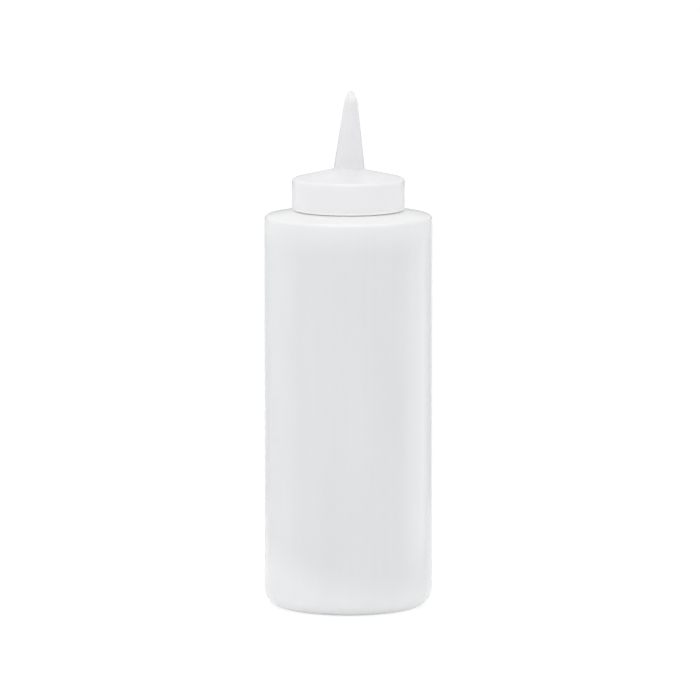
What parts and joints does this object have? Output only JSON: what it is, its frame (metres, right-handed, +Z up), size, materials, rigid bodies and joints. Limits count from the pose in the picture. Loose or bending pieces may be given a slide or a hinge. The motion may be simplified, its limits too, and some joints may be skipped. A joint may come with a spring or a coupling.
{
  "type": "squeeze bottle",
  "caption": "Squeeze bottle for sauce: an empty round blown bottle with a screw cap moulded in one with a tapered nozzle, open at the tip.",
  "frame": {"origin": "the middle of the foot, on the surface that the bottle stands on", "axes": "+Z up, along the bottle's axis; +X the side that the nozzle leans to; the mould lines run up the bottle at +X and -X"},
  "size_m": [0.0602, 0.06, 0.1854],
  "materials": {
    "bottle_ldpe": "natural, milky translucent, satin",
    "cap_ldpe": "natural, milky translucent, satin"
  },
  "bodies": {
    "root": {"bottle": "bottle_ldpe", "nozzle_cap": "cap_ldpe"}
  },
  "joints": []
}
